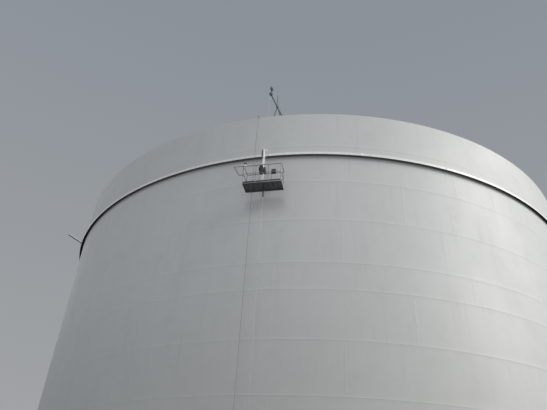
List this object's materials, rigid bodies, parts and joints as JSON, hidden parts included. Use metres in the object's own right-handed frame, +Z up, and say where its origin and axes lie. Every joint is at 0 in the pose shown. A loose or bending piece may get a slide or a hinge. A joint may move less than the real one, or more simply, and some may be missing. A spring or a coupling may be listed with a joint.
{
  "type": "vertical storage tank with a suspended work cradle",
  "caption": "Welded vertical steel tank of stacked plate courses with a wind girder and low cone roof, and a rope-hung work cradle on a roof davit at its wall.",
  "frame": {"origin": "on the tank's axis at the underside of its bottom plate, which is ground level", "axes": "+Z up; -Y points from the tank towards the side that carries the cradle, +X to the right seen from there"},
  "size_m": [38.3386, 39.2909, 24.7531],
  "materials": {
    "shell_paint": "satin light grey paint with faint dirt and weld lines",
    "girder_paint": "satin light grey paint",
    "roof_paint": "weathered light grey paint",
    "bottom_steel": "dull dark primer",
    "arm_paint": "satin light grey paint",
    "davit_paint": "worn pale green grey paint",
    "dark_steel": "dull black paint",
    "ballast_iron": "dull dark cast iron",
    "rope_wire": "greasy steel wire rope",
    "drop_line": "dark braided fibre rope",
    "cradle_alloy": "dull scratched aluminium with paint spots",
    "deck_alloy": "dark worn tread plate",
    "mast_white": "white painted aluminium",
    "hoist_housing": "dark painted cast housing",
    "box_plastic": "dark moulded plastic"
  },
  "bodies": {
    "tank": {"bottom_plate": "bottom_steel", "shell_course_01": "shell_paint", "shell_course_02": "shell_paint", "shell_course_03": "shell_paint", "shell_course_04": "shell_paint", "shell_course_05": "shell_paint", "shell_course_06": "shell_paint", "shell_course_07": "shell_paint", "shell_course_08": "shell_paint", "shell_course_09": "shell_paint", "shell_course_10": "shell_paint", "wind_girder": "girder_paint", "curb_angle": "girder_paint", "roof_sector_1": "roof_paint", "roof_sector_2": "roof_paint", "roof_sector_3": "roof_paint", "roof_sector_4": "roof_paint", "roof_sector_5": "roof_paint", "roof_sector_6": "roof_paint", "roof_crown": "roof_paint", "roof_vent": "roof_paint", "roof_hatch": "roof_paint", "manhole_neck": "shell_paint", "manhole_cover": "shell_paint", "nozzle_neck": "shell_paint", "nozzle_blind": "shell_paint", "side_arm": "arm_paint", "davit_boom": "davit_paint", "davit_head": "dark_steel", "davit_sheave": "dark_steel", "davit_trestle": "davit_paint", "davit_ballast": "ballast_iron", "upper_rope": "rope_wire", "hoist_rope": "rope_wire", "rope_weight": "ballast_iron", "drop_line": "drop_line", "drop_line_weight": "ballast_iron", "line_bracket": "davit_paint"},
    "cradle": {"cradle_floor_frame": "cradle_alloy", "cradle_deck": "deck_alloy", "guard_outer": "cradle_alloy", "guard_wall_side": "cradle_alloy", "guard_left_end": "cradle_alloy", "guard_right_end": "cradle_alloy", "mast": "mast_white", "rope_hoist": "hoist_housing", "hoist_motor": "hoist_housing", "overload_box": "hoist_housing", "mast_rope_guide": "mast_white", "lower_rope_guide": "hoist_housing", "control_box": "box_plastic", "end_bracket": "mast_white"}
  },
  "joints": [
    {"name": "cradle_lift", "type": "slide", "parent": "tank", "child": "cradle", "axis": [0, 0, 1], "range_m": [-16.3, 3.2]}
  ]
}
